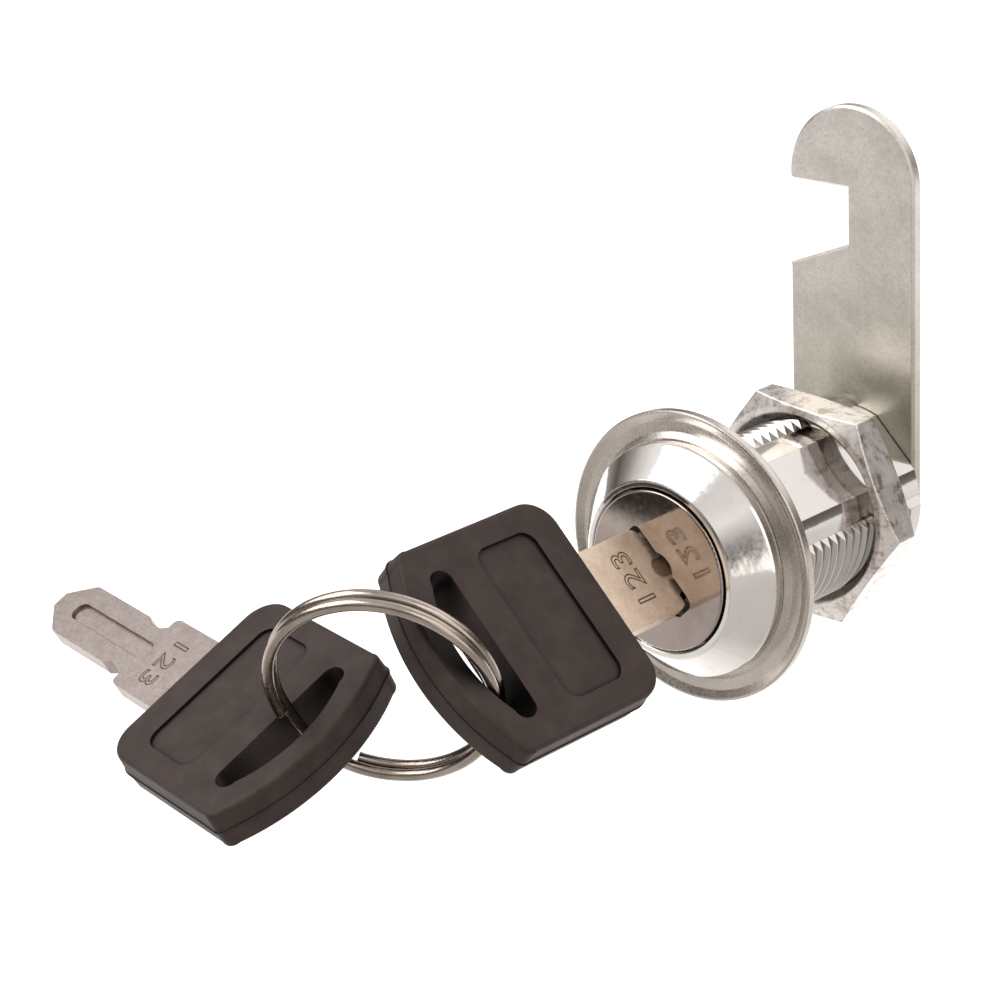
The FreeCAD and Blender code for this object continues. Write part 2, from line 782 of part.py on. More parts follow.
def make_key_blade(number, placement):
    body = new_body("key_" + str(number) + "_blade")
    half = S["blade_half"]
    wide = S["shoulder_half"]
    step = S["shoulder_length"]
    length = S["blade_length"]
    bend = S["tip_length"]
    nick = S["notch_depth"]
    side = S["blade_side"]
    right = [
        (wide, -S["blade_root"]), (wide, step - 0.7), (wide - 0.25, step - 0.15),
        (wide - 0.7, step), (half, step), (half - nick, step + 0.9), (half - nick, step + 2.5),
        (half, step + 3.6), (half, length - bend), (half - 0.25, length - bend + 0.5),
        (S["tip_half"], length),
    ]
    left = [(-x, y) for x, y in reversed(right)]
    sketch = new_sketch(body, "blade_sketch", "XY_Plane")
    outline(sketch, right + left)
    pad = body.newObject("PartDesign::Pad", "blade_pad")
    pad.Profile = sketch
    bind(pad, "Length", side * 2.0)
    pad.Midplane = True
    groove_half = S["groove_half"]
    depth = S["groove_depth"]
    for name, way in (("upper", 1.0), ("lower", -1.0)):
        floor = new_sketch(body, "groove_sketch_" + name, "XY_Plane", (side - depth) * way)
        outline(floor, rounded_box(groove_half, S["groove_start"], S["groove_end"],
                                   groove_half * 0.999))
        cut = body.newObject("PartDesign::Pocket", "groove_" + name)
        cut.Profile = floor
        bind(cut, "Length", depth + 0.5)
        cut.Reversed = way > 0
    body.Placement = placement
    return body


def make_key_bow(number, placement):
    body = new_body("key_" + str(number) + "_bow")
    half = S["bow_half"]
    corner = S["bow_corner"]
    heel = S["bow_heel"]
    sketch = new_sketch(body, "bow_sketch", "XY_Plane")
    crown_radius = (half * half + S["bow_crown"] * S["bow_crown"]) / (S["bow_crown"] * 2.0)
    outline(sketch, [
        (half - corner, ZERO, corner, 1), (half, -corner), (half, -S["bow_side"] + heel,
                                                            heel * 1.1, 1),
        (half - heel * 0.9, -S["bow_side"] - heel * 0.42, crown_radius, 1),
        (-half + heel * 0.9, -S["bow_side"] - heel * 0.42, heel * 1.1, 1),
        (-half, -S["bow_side"] + heel), (-half, -corner, corner, 1), (-half + corner, ZERO),
    ])
    pad = body.newObject("PartDesign::Pad", "bow_pad")
    pad.Profile = sketch
    bind(pad, "Length", S["bow_thick"] / 2)
    bind(pad, "Length2", S["bow_thick"] / 2)
    pad.SideType = "Two sides"
    pad.TaperAngle = -SIZES["bow_draft"]
    pad.TaperAngle2 = -SIZES["bow_draft"]
    DOC.recompute()
    top = SIZES["bow_thick"] / 2
    rim = edges_where(pad.Shape, lambda edge: abs(abs(edge.BoundBox.ZMin) - top) < 1e-3
                      and abs(edge.BoundBox.ZMax - edge.BoundBox.ZMin) < 1e-3)
    round_edges(body, "bow_edges", pad, rim, S["bow_edge"])

    eye = new_sketch(body, "eye_sketch", "XY_Plane")
    eye_half = S["eye_half"]
    eye_corner = S["eye_corner"]
    eye_radius = (eye_half * eye_half + S["eye_crown"] * S["eye_crown"]) / (S["eye_crown"] * 2.0)
    outline(eye, [
        (eye_half - eye_corner, -S["eye_front"], eye_corner, 1),
        (eye_half, -S["eye_front"] - eye_corner),
        (eye_half, -S["eye_back"] + eye_corner, eye_corner, 1),
        (eye_half - eye_corner, -S["eye_back"], eye_radius, 1),
        (-eye_half + eye_corner, -S["eye_back"], eye_corner, 1),
        (-eye_half, -S["eye_back"] + eye_corner),
        (-eye_half, -S["eye_front"] - eye_corner, eye_corner, 1),
        (-eye_half + eye_corner, -S["eye_front"]),
    ])
    pocket_both_ways(body, "eye_cut", eye, S["bow_thick"] * 2.0)

    for name, way in (("upper", 1.0), ("lower", -1.0)):
        floor = S["bow_thick"] / 2 - S["panel_depth"]
        panel = new_sketch(body, "panel_sketch_" + name, "XY_Plane", floor * way)
        outline(panel, rounded_box(S["panel_half"], -S["panel_back"], -S["panel_front"],
                                   S["panel_corner"]))
        cut = body.newObject("PartDesign::Pocket", "panel_" + name)
        cut.Profile = panel
        bind(cut, "Length", S["panel_depth"] + 0.5)
        cut.Reversed = way > 0

    # room for the moulded-in end of the blade
    core = new_sketch(body, "blade_socket_sketch", "YZ_Plane")
    side = S["blade_side"]
    root_end = S["blade_root"]
    outline(core, [(-root_end, -side), (ZERO + 1.0, -side), (ZERO + 1.0, side),
                   (-root_end, side)])
    pocket_both_ways(body, "blade_socket", core, S["shoulder_half"] * 2.0)
    body.Placement = placement
    return body


def make_split_ring():
    """Two turns of round wire side by side. The wire crosses from one turn to the other over a
    short step, and its two ends stop at either side of that step."""
    radius = SIZES["ring_radius"]
    half = SIZES["ring_pitch"] / 2
    step_from = RING_END - 360.0
    count = 72
    points = []
    for index in range(count + 1):
        angle = RING_START + (RING_END - RING_START) * index / count
        across = min(max((angle - step_from) / RING_STEP, 0.0), 1.0)
        height = half * (2 * across * across * (3 - 2 * across) - 1)
        turn = math.radians(angle)
        points.append(V(radius * math.cos(turn), radius * math.sin(turn), height))
    curve = Part.BSplineCurve()
    curve.interpolate(points)
    start = curve.value(curve.FirstParameter)
    along = V(*curve.tangent(curve.FirstParameter)[0])
    section = Part.Wire([Part.makeCircle(SIZES["ring_wire"], start, along)])
    coil = Part.Wire([curve.toShape()]).makePipeShell([section], True, False)
    feature = DOC.addObject("Part::Feature", "split_ring")
    feature.Label = "split_ring"
    feature.Shape = coil if coil.ShapeType == "Solid" else Part.Solid(coil)
    axis = V(*RING_AXIS).normalize()
    feature.Placement = FreeCAD.Placement(V(*RING_PLACE), FreeCAD.Rotation(V(0, 0, 1), axis))
    return feature


# ---------------------------------------------------------------- build, test and write
def build():
    nut, nut_pad = make_nut()
    cam, cam_pad = make_hook_cam()
    nodes = [make_housing(), make_trim_ring(), nut, make_plug(), make_plug_cap()]
    for number in range(1, 6):
        nodes.append(make_wafer(number))
        nodes.append(make_wafer_spring(number))
    nodes += [make_retainer(), make_retaining_spring(), make_stop_plate(), cam,
              make_cam_washer(), make_cam_screw()]
    for number, placement in enumerate(key_placements(), start=1):
        nodes.append(make_key_blade(number, placement))
        nodes.append(make_key_bow(number, placement))
    nodes.append(make_split_ring())
    DOC.recompute()
    check_state(nodes)
    for node in nodes:
        node.Shape.exportStep("parts/" + node.Label + ".step")
        print(node.Label, "volume", round(node.Shape.Volume, 2), "mm3")
    if not nut.Shape.Volume < nut_pad.Shape.Volume or not cam.Shape.Volume < cam_pad.Shape.Volume:
        raise RuntimeError("a pocket in the nut or the cam cut nothing")


def check_state(nodes):
    """Stop if any object failed, or a node's shape is empty, invalid or not one solid."""
    failed = [item.Name for item in DOC.Objects
              if "Invalid" in item.State or "Error" in item.State]
    if failed:
        raise RuntimeError("failed objects: " + ", ".join(failed))
    for node in nodes:
        shape = node.Shape
        if shape.isNull() or not shape.isValid() or len(shape.Solids) != 1:
            raise RuntimeError("bad shape: " + node.Label + " " + str(len(shape.Solids)))


os.makedirs("parts", exist_ok=True)
build()
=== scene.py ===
"""Looks for a keyed cam lock: chrome head, threaded barrel, nut, hook cam and a ring of keys.

Everything is in metres in the CAD frame: +Y runs into the door along the lock's axis, the
origin is on that axis at the door's front face, and the cam points up, along +Z.
"""
import math

import bpy
from mathutils import Matrix, Vector


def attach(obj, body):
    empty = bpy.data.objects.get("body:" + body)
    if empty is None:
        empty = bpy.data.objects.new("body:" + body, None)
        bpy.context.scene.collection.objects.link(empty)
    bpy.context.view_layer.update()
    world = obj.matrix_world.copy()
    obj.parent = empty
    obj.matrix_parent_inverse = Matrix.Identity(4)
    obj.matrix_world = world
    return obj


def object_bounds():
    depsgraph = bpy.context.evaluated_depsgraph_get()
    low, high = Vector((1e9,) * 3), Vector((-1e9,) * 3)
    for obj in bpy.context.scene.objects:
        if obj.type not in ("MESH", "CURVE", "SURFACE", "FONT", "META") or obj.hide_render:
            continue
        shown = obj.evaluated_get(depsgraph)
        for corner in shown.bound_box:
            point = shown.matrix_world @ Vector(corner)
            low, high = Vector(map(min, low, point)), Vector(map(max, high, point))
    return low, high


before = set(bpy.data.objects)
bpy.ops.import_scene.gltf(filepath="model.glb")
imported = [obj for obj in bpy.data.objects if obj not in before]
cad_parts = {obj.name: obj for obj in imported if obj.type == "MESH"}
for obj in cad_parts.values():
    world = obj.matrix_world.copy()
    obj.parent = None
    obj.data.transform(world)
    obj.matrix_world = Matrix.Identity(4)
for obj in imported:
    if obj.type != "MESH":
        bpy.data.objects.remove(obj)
CAD_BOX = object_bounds()

MM = 0.001

# ------------------------------------------------------------------ the view
AZIMUTH = math.radians(44.1)
ELEVATION = math.radians(20.0)
ROLL = math.radians(-2.8)
TARGET = Vector((-21.04, -6.0, 2.99)) * MM
DISTANCE = 0.312
LENS = 108.98
SENSOR = 36.0


def make_camera():
    back = Vector((math.sin(AZIMUTH) * math.cos(ELEVATION),
                   -math.cos(AZIMUTH) * math.cos(ELEVATION), math.sin(ELEVATION)))
    right = Vector((math.cos(AZIMUTH), math.sin(AZIMUTH), 0.0))
    up = back.cross(right)
    right_rolled = math.cos(ROLL) * right + math.sin(ROLL) * up
    up_rolled = math.cos(ROLL) * up - math.sin(ROLL) * right
    turn = Matrix((right_rolled, up_rolled, back)).transposed().to_4x4()
    data = bpy.data.cameras.new("camera")
    data.lens = LENS
    data.sensor_width = SENSOR
    data.clip_start = 0.01
    data.clip_end = 50.0
    camera = bpy.data.objects.new("camera", data)
    camera.matrix_world = Matrix.Translation(TARGET + back * DISTANCE) @ turn
    bpy.context.scene.collection.objects.link(camera)
    bpy.context.scene.camera = camera


# ------------------------------------------------------------------ node helpers
class Nodes:
    """A material's node tree, with short calls for the nodes used here."""

    def __init__(self, name):
        self.material = bpy.data.materials.new(name)
        self.material.use_nodes = True
        self.tree = self.material.node_tree
        self.shader = self.tree.nodes["Principled BSDF"]
        self.place = self.add("ShaderNodeTexCoord").outputs["Object"]

    def add(self, kind):
        return self.tree.nodes.new(kind)

    def link(self, source, target):
        self.tree.links.new(source, target)

    def put(self, **values):
        """Set plain values on the shader, such as Metallic=1.0; _ stands for a space."""
        for key, value in values.items():
            self.shader.inputs[key.replace("_", " ")].default_value = value

    def mapped(self, scale):
        node = self.add("ShaderNodeMapping")
        node.inputs["Scale"].default_value = scale
        self.link(self.place, node.inputs["Vector"])
        return node.outputs["Vector"]

    def noise(self, vector, scale, detail=4.0, rough=0.55, distortion=0.0):
        node = self.add("ShaderNodeTexNoise")
        node.inputs["Scale"].default_value = scale
        node.inputs["Detail"].default_value = detail
        node.inputs["Roughness"].default_value = rough
        node.inputs["Distortion"].default_value = distortion
        self.link(vector, node.inputs["Vector"])
        return node.outputs["Fac"]

    def ramp(self, factor, stops):
        """Colours along a factor: stops are (place, colour) pairs."""
        node = self.add("ShaderNodeValToRGB")
        band = node.color_ramp
        while len(band.elements) < len(stops):
            band.elements.new(0.5)
        for element, (place, colour) in zip(band.elements, stops):
            element.position = place
            element.color = (*colour, 1.0)
        self.link(factor, node.inputs["Fac"])
        return node.outputs["Color"]

    def remap(self, factor, low, high, from_low=0.3, from_high=0.7):
        node = self.add("ShaderNodeMapRange")
        node.inputs["From Min"].default_value = from_low
        node.inputs["From Max"].default_value = from_high
        node.inputs["To Min"].default_value = low
        node.inputs["To Max"].default_value = high
        self.link(factor, node.inputs["Value"])
        return node.outputs["Result"]

    def mix(self, first, second, factor, mode="MIX"):
        node = self.add("ShaderNodeMix")
        node.data_type = "RGBA"
        node.blend_type = mode
        for index, value in ((6, first), (7, second)):
            if isinstance(value, tuple):
                node.inputs[index].default_value = (*value, 1.0)
            else:
                self.link(value, node.inputs[index])
        if isinstance(factor, float):
            node.inputs[0].default_value = factor
        else:
            self.link(factor, node.inputs[0])
        return node.outputs[2]

    def along(self, axis):
        node = self.add("ShaderNodeSeparateXYZ")
        self.link(self.place, node.inputs[0])
        return node.outputs[axis]

    def rounded(self, radius):
        """A normal that catches the light along sharp edges, as if they were eased."""
        node = self.add("ShaderNodeBevel")
        node.samples = 4
        node.inputs["Radius"].default_value = radius * MM
        return node.outputs["Normal"]

    def open_sky(self, distance):
        """1 on open surfaces, falling to 0 in grooves and holes."""
        node = self.add("ShaderNodeAmbientOcclusion")
        node.samples = 8
        node.inputs["Distance"].default_value = distance * MM
        return node.outputs["AO"]

    def bump(self, height, distance, strength=1.0, below=None):
        node = self.add("ShaderNodeBump")
        node.inputs["Distance"].default_value = distance
        node.inputs["Strength"].default_value = strength
        self.link(height, node.inputs["Height"])
        if below is not None:
            self.link(below, node.inputs["Normal"])
        return node.outputs["Normal"]

    def finish(self, colour=None, roughness=None, normal=None):
        for source, target in ((colour, "Base Color"), (roughness, "Roughness"),
                               (normal, "Normal")):
            if source is not None:
                self.link(source, self.shader.inputs[target])
        return self.material


# ------------------------------------------------------------------ materials
EVEN = (1.0, 1.0, 1.0)
WHITE = (1.0, 1.0, 1.0)

# How fine each pattern is: a noise scale, in cycles per metre.
CASTING_WAVES = 170.0
WIPING_MARKS = 2600.0
DIRT_SPOTS = 900.0
PLATE_SPECKLE = 3400.0
PLATE_CLOUDS = 210.0
PLATE_PITS = 1500.0
NUT_BLOTCHES = 520.0
NUT_STREAKS = 760.0
BLANK_GRAIN = 2400.0
BLANK_CLOUDS = 420.0
PLASTIC_PEBBLES = 5200.0
PLASTIC_RUBBING = 330.0
STAMP_MOTTLE = 3000.0

# Half the depth over which the head's colour gives way to the barrel's, at the door plane.
HEAD_TO_BARREL = 0.4

# Colours of what collects on the metal, and of painted shade where the light doesn't reach.
DIRT = (0.30, 0.27, 0.23)
CREVICE_SHADE = (0.06, 0.05, 0.04)
PIT = (0.22, 0.19, 0.16)
BLANK_HOLLOW_SHADE = (0.16, 0.10, 0.06)
UNLIT_PLASTIC = (0.002, 0.001, 0.001)


def chrome(name, low, high, rough_low, rough_high, ripple, speck=0.0, barrel=None):
    """Bright plate over a casting: slow ripples under the plate, fine wiping marks, optional
    dirt spots and painted shade in crevices.
    """
    m = Nodes(name)
    m.put(Metallic=1.0)
    broad = m.noise(m.mapped(EVEN), CASTING_WAVES, 3.0)
    fine = m.noise(m.mapped(EVEN), WIPING_MARKS, 5.0, 0.65)
    colour = m.ramp(broad, ((0.30, low), (0.68, high)))
    rough = m.remap(fine, rough_low, rough_high)
    if barrel is not None:
        behind_head = m.remap(m.along("Y"), 0.0, 1.0, -HEAD_TO_BARREL * MM,
                              HEAD_TO_BARREL * MM)
        colour = m.mix(colour, barrel, behind_head)
    if speck:
        dirt = m.remap(m.noise(m.mapped(EVEN), DIRT_SPOTS, 6.0, 0.7), 0.0, speck, 0.56, 0.72)
        colour = m.mix(colour, DIRT, dirt)
    # Painted shade: near-black mixed into crevices and gaps that little light reaches.
    crevice_shade = m.remap(m.open_sky(0.9), 0.75, 0.0, 0.25, 0.75)
    colour = m.mix(colour, CREVICE_SHADE, crevice_shade)
    wiped = m.bump(fine, 0.004 * MM, 0.5, m.rounded(0.10))
    rippled = m.bump(broad, ripple * MM, 1.0, wiped)
    return m.finish(colour, rough, rippled)


def zinc(name, low, high, rough_low, rough_high, tint=None, texture=0.010, pits=0.0):
    """Satin plate on pressed steel: speckle, cloudy patches, and an optional tint, darker
    towards one end.
    """
    m = Nodes(name)
    m.put(Metallic=1.0)
    speckle = m.noise(m.mapped(EVEN), PLATE_SPECKLE, 4.0, 0.75)
    cloud = m.noise(m.mapped(EVEN), PLATE_CLOUDS, 5.0, 0.6, 0.4)
    colour = m.ramp(speckle, ((0.30, low), (0.70, high)))
    shade = m.ramp(cloud, ((0.28, (0.80, 0.80, 0.78)), (0.66, WHITE)))
    colour = m.mix(colour, shade, 1.0, "MULTIPLY")
    if tint is not None:
        axis, start, end, tint_colour, strength = tint
        # The tint multiplies in fully at start and fades out by end along the axis.
        reach = m.remap(m.along(axis), strength, 0.0, start * MM, end * MM)
        colour = m.mix(colour, tint_colour, reach, "MULTIPLY")
    if pits:
        dots = m.remap(m.noise(m.mapped(EVEN), PLATE_PITS, 2.0, 0.5), 0.0, pits, 0.70, 0.78)
        colour = m.mix(colour, PIT, dots)
    worn = m.bump(speckle, texture * MM, 0.8, m.rounded(0.16))
    waves = m.bump(cloud, 0.05 * MM, 0.6, worn)
    rough = m.remap(speckle, rough_low, rough_high)
    return m.finish(colour, rough, waves)


def mottled_zinc(name, low, high, tint_colour):
    """Thick zinc plate on a turned nut: bright blotches, brownish streaks and rubbed edges."""
    m = Nodes(name)
    m.put(Metallic=1.0)
    blotch = m.noise(m.mapped(EVEN), NUT_BLOTCHES, 9.0, 0.72, 0.6)
    streak = m.noise(m.mapped((1.0, 0.30, 1.0)), NUT_STREAKS, 7.0, 0.75)
    colour = m.ramp(blotch, ((0.38, low), (0.47, high), (0.60, high), (0.68, low)))
    dirt = m.remap(streak, 0.0, 0.75, 0.52, 0.64)
    colour = m.mix(colour, tint_colour, dirt)
    dents = m.bump(blotch, 0.045 * MM, 0.8, m.rounded(0.30))
    return m.finish(colour, m.remap(blotch, 0.20, 0.46), dents)


def ground_nickel(name, low, high, rough_low, rough_high):
    """A tumbled and plated key blank: fine grain, cloudy patches and painted brown shade in
    hollows.
    """
    m = Nodes(name)
    m.put(Metallic=1.0)
    grain = m.noise(m.mapped(EVEN), BLANK_GRAIN, 6.0, 0.72)
    cloud = m.noise(m.mapped(EVEN), BLANK_CLOUDS, 4.0, 0.6)
    colour = m.ramp(grain, ((0.32, low), (0.66, high)))
    shade = m.ramp(cloud, ((0.30, (0.86, 0.84, 0.82)), (0.62, WHITE)))
    colour = m.mix(colour, shade, 1.0, "MULTIPLY")
    # Painted shade: hollows and grooves darken to brown where little light reaches.
    hollow_shade = m.remap(m.open_sky(0.5), 0.8, 0.0, 0.35, 0.85)
    colour = m.mix(colour, BLANK_HOLLOW_SHADE, hollow_shade)
    normal = m.bump(grain, 0.012 * MM, 0.8, m.rounded(0.10))
    return m.finish(colour, m.remap(grain, rough_low, rough_high), normal)


def moulded_plastic(name, low, high):
    """Dark plastic with a fine spark-eroded texture and rubbed patches."""
    m = Nodes(name)
    m.put(Metallic=0.0, IOR=1.49, Specular_IOR_Level=0.16)
    pebbles = m.noise(m.mapped(EVEN), PLASTIC_PEBBLES, 3.0, 0.6)
    rubbed = m.noise(m.mapped(EVEN), PLASTIC_RUBBING, 5.0, 0.6)
    colour = m.ramp(rubbed, ((0.32, low), (0.70, high)))
    reached = m.remap(m.open_sky(4.0), 0.0, 1.0, 0.55, 0.98)
    colour = m.mix(UNLIT_PLASTIC, colour, reached)
    rough = m.remap(rubbed, 0.42, 0.54)
    grain = m.bump(pebbles, 0.020 * MM, 0.7, m.rounded(0.22))
    slow = m.bump(rubbed, 0.03 * MM, 0.5, grain)
    return m.finish(colour, rough, slow)


def dark_line(name, colour, rough):
    """The dark line of a stamped figure: painted shade of its edges, mottled at random."""
    m = Nodes(name)
    m.put(Metallic=0.6, Roughness=rough)
    shade_mottle = m.noise(m.mapped(EVEN), STAMP_MOTTLE, 3.0)
    shade = m.ramp(shade_mottle, ((0.3, tuple(c * 0.7 for c in colour)), (0.7, colour)))
    return m.finish(shade)


MATERIALS = {
    "housing": chrome("chrome_plate", (0.82, 0.79, 0.76), (0.93, 0.90, 0.88), 0.05, 0.13,
                      0.035, 0.12, (0.56, 0.53, 0.51)),
    "plug_cap": chrome("polished_steel", (0.36, 0.31, 0.28), (0.50, 0.44, 0.40), 0.06, 0.14,
                       0.01, 0.20),
    "plug": chrome("plug_plate", (0.45, 0.40, 0.36), (0.58, 0.53, 0.49), 0.18, 0.32, 0.02),
    "trim_ring": zinc("satin_nickel", (0.56, 0.51, 0.47), (0.66, 0.61, 0.57), 0.22, 0.34,
                      texture=0.002),
    "mounting_nut": mottled_zinc("mottled_zinc", (0.50, 0.44, 0.40), (0.86, 0.82, 0.79),
                                 (0.44, 0.37, 0.32)),
    # The cam is darker and slightly yellow-green towards its lower end.
    "hook_cam": zinc("satin_zinc", (0.70, 0.66, 0.62), (0.92, 0.88, 0.84), 0.30, 0.46,
                     tint=("Z", 6.0, 27.0, (0.66, 0.68, 0.60), 0.9), pits=0.7),
    "cam_washer": zinc("washer_zinc", (0.55, 0.50, 0.46), (0.72, 0.67, 0.63), 0.24, 0.38),
    "cam_screw": zinc("screw_zinc", (0.53, 0.49, 0.45), (0.70, 0.65, 0.61), 0.22, 0.36),
    "stop_plate": zinc("plate_zinc", (0.52, 0.48, 0.44), (0.68, 0.63, 0.59), 0.26, 0.40),
    "wafers": ground_nickel("stamped_brass", (0.60, 0.45, 0.22), (0.74, 0.58, 0.32), 0.28,
                            0.44),
    "springs": chrome("spring_wire", (0.55, 0.51, 0.47), (0.72, 0.68, 0.64), 0.14, 0.26, 0.0),
    "split_ring": chrome("nickel_wire", (0.30, 0.245, 0.20), (0.52, 0.46, 0.41), 0.10, 0.24,
                         0.015, 0.60),
    "key_1_blade": ground_nickel("warm_nickel", (0.84, 0.66, 0.50), (0.98, 0.84, 0.70), 0.34,
                                 0.50),
    "key_2_blade": ground_nickel("grey_nickel", (0.36, 0.305, 0.285), (0.48, 0.42, 0.395),
                                 0.30, 0.44),
    "bow": moulded_plastic("black_plastic", (0.042, 0.030, 0.026), (0.068, 0.051, 0.046)),
    "stamp": dark_line("stamp_edge_shade", (0.16, 0.10, 0.07), 0.55),
}


def material_for(node):
    if node.startswith("wafer_spring") or node == "retaining_spring":
        return MATERIALS["springs"]
    if node.startswith("wafer") or node == "retaining_wafer":
        return MATERIALS["wafers"]
    if node.endswith("_bow"):
        return MATERIALS["bow"]
    return MATERIALS[node]


def dress_nodes():
    for name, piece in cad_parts.items():
        piece.data.materials.clear()
        piece.data.materials.append(material_for(name))


# ------------------------------------------------------------------ key frames
class KeyFrame:
    """A key's own axes: tip along the blade, across its width, face out of its upper side."""

    def __init__(self, place, tip, face):
        self.place = Vector(place) * MM
        self.tip = Vector(tip).normalized()
        face = Vector(face)
        self.face = (face - self.tip * face.dot(self.tip)).normalized()
        self.across = self.tip.cross(self.face)

    def at(self, across, tip, face):
        """A point in the row's frame from millimetres in the key's."""
        return self.place + (self.across * across + self.tip * tip + self.face * face) * MM

    def matrix(self, across, tip, face, spin, flip):
        """Where a flat piece drawn in X and Y lies on the key's upper (or lower) side."""
        side = -1.0 if flip else 1.0
        normal = self.face * side
        x = self.across * math.cos(spin) + self.tip * math.sin(spin)
        y = normal.cross(x)
        turn = Matrix((x, y, normal)).transposed().to_4x4()
        return Matrix.Translation(self.at(across, tip, face)) @ turn


KEY_1 = KeyFrame((0.0, -15.45, 0.0), (0.0, 1.0, 0.0), (0.7071, 0.0, 0.7071))
KEY_2 = KeyFrame((-31.952, -39.293, -9.07), (-0.9845, 0.1734, 0.0267),
                 (-0.0598, -0.4745, 0.8782))

# The number on each side of a blade, in place of the real key's own number.
BLADE_SIDE = 0.95
NUMBER = "123"
NUMBER_TIP = 5.4
NUMBER_SPIN = math.pi
DIGIT_SIZE = 3.3
DIGIT_STRETCH = 1.25
DIGIT_SPACING = 1.12
STROKE = 0.085
STROKE_SUNK = 0.55

# A bow's outline, as in the CAD: heel factors place the arc between side and crown.

BOW_HALF = 11.4
BOW_SIDE = 19.7
BOW_CROWN = 3.45
BOW_CORNER = 3.4
BOW_HEEL = 1.2
HEEL_ACROSS = 0.9
HEEL_BACK = 0.42
HEEL_RADIUS = 1.1
CROWN_STEPS = 40
SEAM = 0.12


def arc(start, end, radius, count=14):
    """Points from start to end on an arc that bulges away from the middle of the bow."""
    first, last = Vector(start), Vector(end)
    middle = (first + last) / 2.0
    half_chord = (last - first) / 2.0
    inward = Vector((-half_chord.y, half_chord.x)).normalized()
    if inward.dot(Vector((0.0, -BOW_SIDE / 2.0)) - middle) < 0.0:
        inward = -inward
    centre = middle + inward * math.sqrt(radius ** 2 - half_chord.length_squared)
    points = []
    for step in range(count + 1):
        on_chord = first.lerp(last, step / count) - centre
        points.append(tuple(centre + on_chord.normalized() * radius))
    return points


def bow_seam_points():
    """The outline of a bow, from one front corner round the crown to the other."""
    crown_radius = (BOW_HALF ** 2 + BOW_CROWN ** 2) / (2.0 * BOW_CROWN)
    front = (BOW_HALF - BOW_CORNER, 0.0)
    shoulder = (BOW_HALF, -BOW_CORNER)
    hip = (BOW_HALF, -BOW_SIDE + BOW_HEEL)
    heel = (BOW_HALF - BOW_HEEL * HEEL_ACROSS, -BOW_SIDE - BOW_HEEL * HEEL_BACK)
    right = arc(front, shoulder, BOW_CORNER) + arc(hip, heel, BOW_HEEL * HEEL_RADIUS)
    left = [(-across, tip) for across, tip in reversed(right)]
    crown = arc(heel, (-heel[0], heel[1]), crown_radius, CROWN_STEPS)
    return right + crown[1:-1] + left


def mesh_from_curve(name, curve):
    piece = bpy.data.objects.new(name + "_curve", curve)
    bpy.context.scene.collection.objects.link(piece)
    bpy.context.view_layer.update()
    graph = bpy.context.evaluated_depsgraph_get()
    mesh = bpy.data.meshes.new_from_object(piece.evaluated_get(graph))
    bpy.data.objects.remove(piece)
    return mesh


def add_riding(name, mesh, material, body):
    mesh.materials.clear()
    mesh.materials.append(material)
    piece = bpy.data.objects.new(name, mesh)
    bpy.context.scene.collection.objects.link(piece)
    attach(piece, body)


def mould_seam(name, key, body):
    """The thin ridge that the two halves of the mould leave round a bow."""
    curve = bpy.data.curves.new(name, "CURVE")
    curve.dimensions = "3D"
    curve.bevel_depth = SEAM * MM
    curve.bevel_resolution = 2
    points = bow_seam_points()
    line = curve.splines.new("POLY")
    line.points.add(len(points) - 1)
    for point, (across, tip) in zip(line.points, points):
        point.co = (*key.at(across, tip, 0.0), 1.0)
    add_riding(name, mesh_from_curve(name, curve), MATERIALS["bow"], body)


def stamp_number(name, key, body, flip):
    """Digits as thin outlines in painted shade, mostly let into the blade and 0.04 mm proud of
    it.

    The blade's own mesh is never cut, so the lines can't be real grooves."""
    curve = bpy.data.curves.new(name, "FONT")
    curve.body = NUMBER
    curve.size = DIGIT_SIZE * MM
    curve.align_x = "CENTER"
    curve.align_y = "CENTER"
    curve.fill_mode = "NONE"
    curve.bevel_depth = STROKE * MM
    curve.bevel_resolution = 2
    curve.space_character = DIGIT_SPACING
    mesh = mesh_from_curve(name, curve)
    depth = BLADE_SIDE - STROKE * STROKE_SUNK
    place = key.matrix(0.0, NUMBER_TIP, -depth if flip else depth, NUMBER_SPIN, flip)
    mesh.transform(place @ Matrix.Diagonal((DIGIT_STRETCH, 1.0, 1.0, 1.0)))
    add_riding(name, mesh, MATERIALS["stamp"], body)


# ------------------------------------------------------------------ stage and light
FLOOR_HALF = 4.0
FLOOR_DROP = 0.11
FLOOR_COLOUR = (0.50, 0.485, 0.47)
GLOW = 0.98
GLOW_STARTS = -0.06
GLOW_FULL = 0.132


def make_floor():
    """A pale floor that glows behind the object, as seen in the main view.

    The glow is fixed in the room, so from other sides part of the floor is grey."""
    half = FLOOR_HALF
    level = CAD_BOX[0][2] - FLOOR_DROP
    mesh = bpy.data.meshes.new("floor")
    corners = [(-half, -half, level), (half, -half, level), (half, half, level),
               (-half, half, level)]
    mesh.from_pydata(corners, [], [(0, 1, 2, 3)])
    m = Nodes("pale_floor")
    m.put(Base_Color=(*FLOOR_COLOUR, 1.0), Roughness=0.9, Emission_Strength=1.0)
    behind = m.add("ShaderNodeVectorMath")
    behind.operation = "DOT_PRODUCT"
    behind.inputs[1].default_value = (-math.sin(AZIMUTH), math.cos(AZIMUTH), 0.0)
    m.link(m.place, behind.inputs[0])
    glow = m.remap(behind.outputs["Value"], 0.0, 1.0, GLOW_STARTS, GLOW_FULL)
    colour = m.ramp(glow, ((0.0, (0.0, 0.0, 0.0)), (1.0, (GLOW, GLOW, GLOW))))
    m.link(colour, m.shader.inputs["Emission Color"])
    mesh.materials.append(m.material)
    floor = bpy.data.objects.new("floor", mesh)
    bpy.context.scene.collection.objects.link(floor)


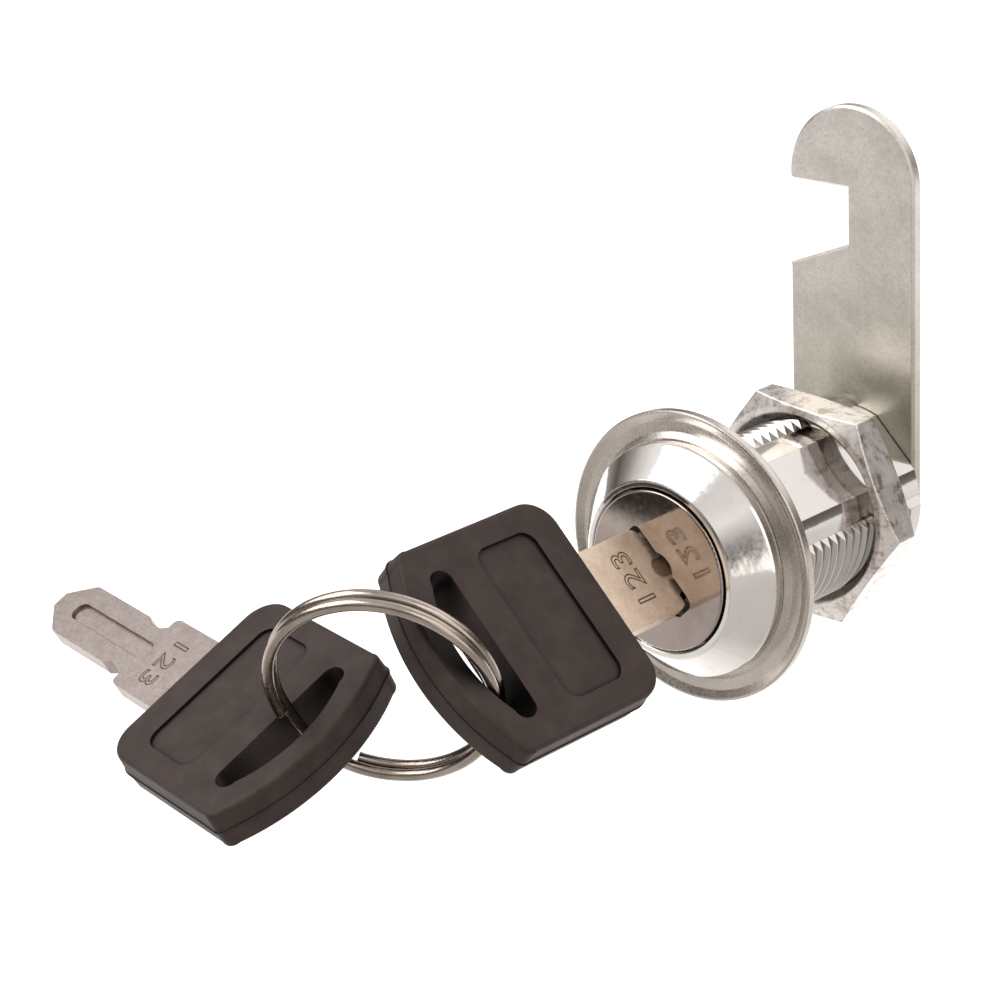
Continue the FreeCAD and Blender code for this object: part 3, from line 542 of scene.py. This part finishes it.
# Each light: where it stands from the target, its size, power, colour and softness.
LIGHTS = {
    "key_light": ((-0.35, -0.45, 0.60), (0.8, 0.6), 4.6, WHITE, 1.0),
    "fill_light": ((0.75, -0.20, 0.25), (0.6, 0.8), 1.7, (1.0, 0.97, 0.93), 0.25),
    "back_light": ((0.15, 0.60, 0.55), (0.9, 0.5), 0.9, WHITE, 1.0),
}

# The room's tone from straight down (0) to straight up (1).
ROOM_TONES = ((0.0, (0.60, 0.57, 0.55)), (0.50, (0.30, 0.27, 0.25)),
              (0.57, (0.10, 0.09, 0.08)), (0.66, (0.32, 0.30, 0.29)),
              (0.80, (0.90, 0.87, 0.85)), (1.0, (0.66, 0.65, 0.65)))


def make_light(name, offset, size, power, colour, soft):
    """An area light; soft scales what it adds to dull surfaces, not its reflection."""
    data = bpy.data.lights.new(name, "AREA")
    data.shape = "RECTANGLE"
    data.size, data.size_y = size
    data.energy = power
    data.color = colour
    data.diffuse_factor = soft
    light = bpy.data.objects.new(name, data)
    light.rotation_euler = (-Vector(offset)).to_track_quat("-Z", "Y").to_euler()
    light.location = TARGET + Vector(offset)
    bpy.context.scene.collection.objects.link(light)


def make_world():
    world = bpy.data.worlds.new("soft_room")
    world.use_nodes = True
    tree = world.node_tree
    shade = tree.nodes["Background"]
    place = tree.nodes.new("ShaderNodeTexCoord")
    split = tree.nodes.new("ShaderNodeSeparateXYZ")
    tree.links.new(place.outputs["Generated"], split.inputs[0])
    ramp = tree.nodes.new("ShaderNodeValToRGB")
    half = tree.nodes.new("ShaderNodeMapRange")
    half.inputs["From Min"].default_value = -1.0
    half.inputs["From Max"].default_value = 1.0
    tree.links.new(split.outputs["Z"], half.inputs["Value"])
    band = ramp.color_ramp
    while len(band.elements) < len(ROOM_TONES):
        band.elements.new(0.5)
    for element, (where, colour) in zip(band.elements, ROOM_TONES):
        element.position = where
        element.color = (*colour, 1.0)
    tree.links.new(half.outputs["Result"], ramp.inputs["Fac"])
    tree.links.new(ramp.outputs["Color"], shade.inputs["Color"])
    shade.inputs["Strength"].default_value = 1.0
    bpy.context.scene.world = world


def make_lights():
    for name, (offset, size, power, colour, soft) in LIGHTS.items():
        make_light(name, offset, size, power, colour, soft)


bpy.context.scene.view_settings.view_transform = "Standard"
make_camera()
make_world()
make_lights()
make_floor()
dress_nodes()
KEYS = {"key_1": KEY_1, "key_2": KEY_2}
for body, key in KEYS.items():
    mould_seam(body + "_seam", key, body)
for body, key in KEYS.items():
    stamp_number(body + "_number_front", key, body, False)
    stamp_number(body + "_number_back", key, body, True)
